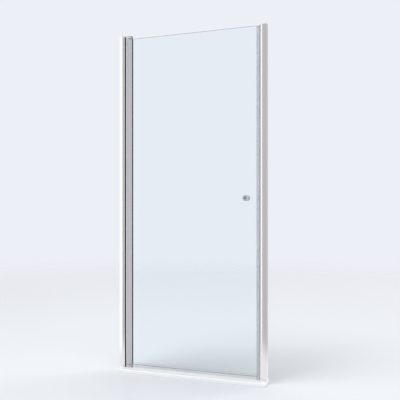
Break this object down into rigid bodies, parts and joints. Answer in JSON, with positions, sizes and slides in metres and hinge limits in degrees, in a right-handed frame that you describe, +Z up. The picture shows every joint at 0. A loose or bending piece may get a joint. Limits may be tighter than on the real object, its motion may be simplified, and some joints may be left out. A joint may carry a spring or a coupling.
{
  "type": "pivot shower door",
  "caption": "Niche shower door: a clear glass leaf with a round knob turns on hidden pins beside a bright wall channel and closes on a magnetic strip, above a low white sill.",
  "frame": {"origin": "on the sill's underside, midway between the two walls, in the plane of the closed glass", "axes": "+X from the hinge wall to the strike wall, +Y into the shower, +Z up"},
  "size_m": [0.88, 0.1, 1.965],
  "materials": {
    "bright_aluminium": "bright polished and anodised",
    "cast_bright": "bright plated casting",
    "chrome": "mirror polished",
    "stainless_steel": "plain turned",
    "clear_glass": "clear, toughened",
    "clear_pvc": "translucent, extruded",
    "dark_rubber": "matte",
    "magnet_strip": "matte, magnet powder in rubber",
    "grey_plastic": "fine matte",
    "bush_plastic": "smooth, self-lubricating",
    "white_gloss": "glossy white"
  },
  "bodies": {
    "frame": {"sill": "white_gloss", "hinge_wall_channel": "bright_aluminium", "strike_wall_channel": "bright_aluminium", "hinge_channel_cap": "cast_bright", "strike_channel_cap": "cast_bright", "hinge_post": "bright_aluminium", "strike_post": "bright_aluminium", "hinge_front_gasket": "dark_rubber", "hinge_rear_gasket": "dark_rubber", "hinge_post_screws": "stainless_steel", "strike_post_screws": "stainless_steel", "hinge_screw_caps": "grey_plastic", "strike_screw_caps": "grey_plastic", "bottom_bracket_screws": "stainless_steel", "top_bracket_screws": "stainless_steel", "strike_magnet_carrier": "grey_plastic", "strike_magnet": "magnet_strip", "top_pivot_bracket": "cast_bright", "top_pivot_pin": "stainless_steel", "bottom_pivot_bracket": "cast_bright", "bottom_pivot_pin": "stainless_steel"},
    "leaf": {"top_pivot_bush": "bush_plastic", "top_stile_plug": "cast_bright", "bottom_pivot_bush": "bush_plastic", "bottom_stile_plug": "cast_bright", "bottom_plug_screws": "stainless_steel", "top_plug_screws": "stainless_steel", "pivot_stile": "bright_aluminium", "glazing_gasket_outer": "dark_rubber", "glazing_gasket_inner": "dark_rubber", "glass_panel": "clear_glass", "leaf_magnet_seal": "clear_pvc", "leaf_magnet": "magnet_strip", "bottom_sweep": "clear_pvc", "outer_knob": "chrome", "inner_knob": "chrome", "knob_grub_screw": "stainless_steel", "outer_knob_washer": "clear_pvc", "inner_knob_washer": "clear_pvc", "knob_sleeve": "clear_pvc", "knob_stud": "stainless_steel"}
  },
  "joints": [
    {"name": "leaf_pivot", "type": "hinge", "parent": "frame", "child": "leaf", "pos_m": [-0.39, 0, 0.036], "axis": [0, 0, -1], "range_deg": [0, 90]}
  ]
}
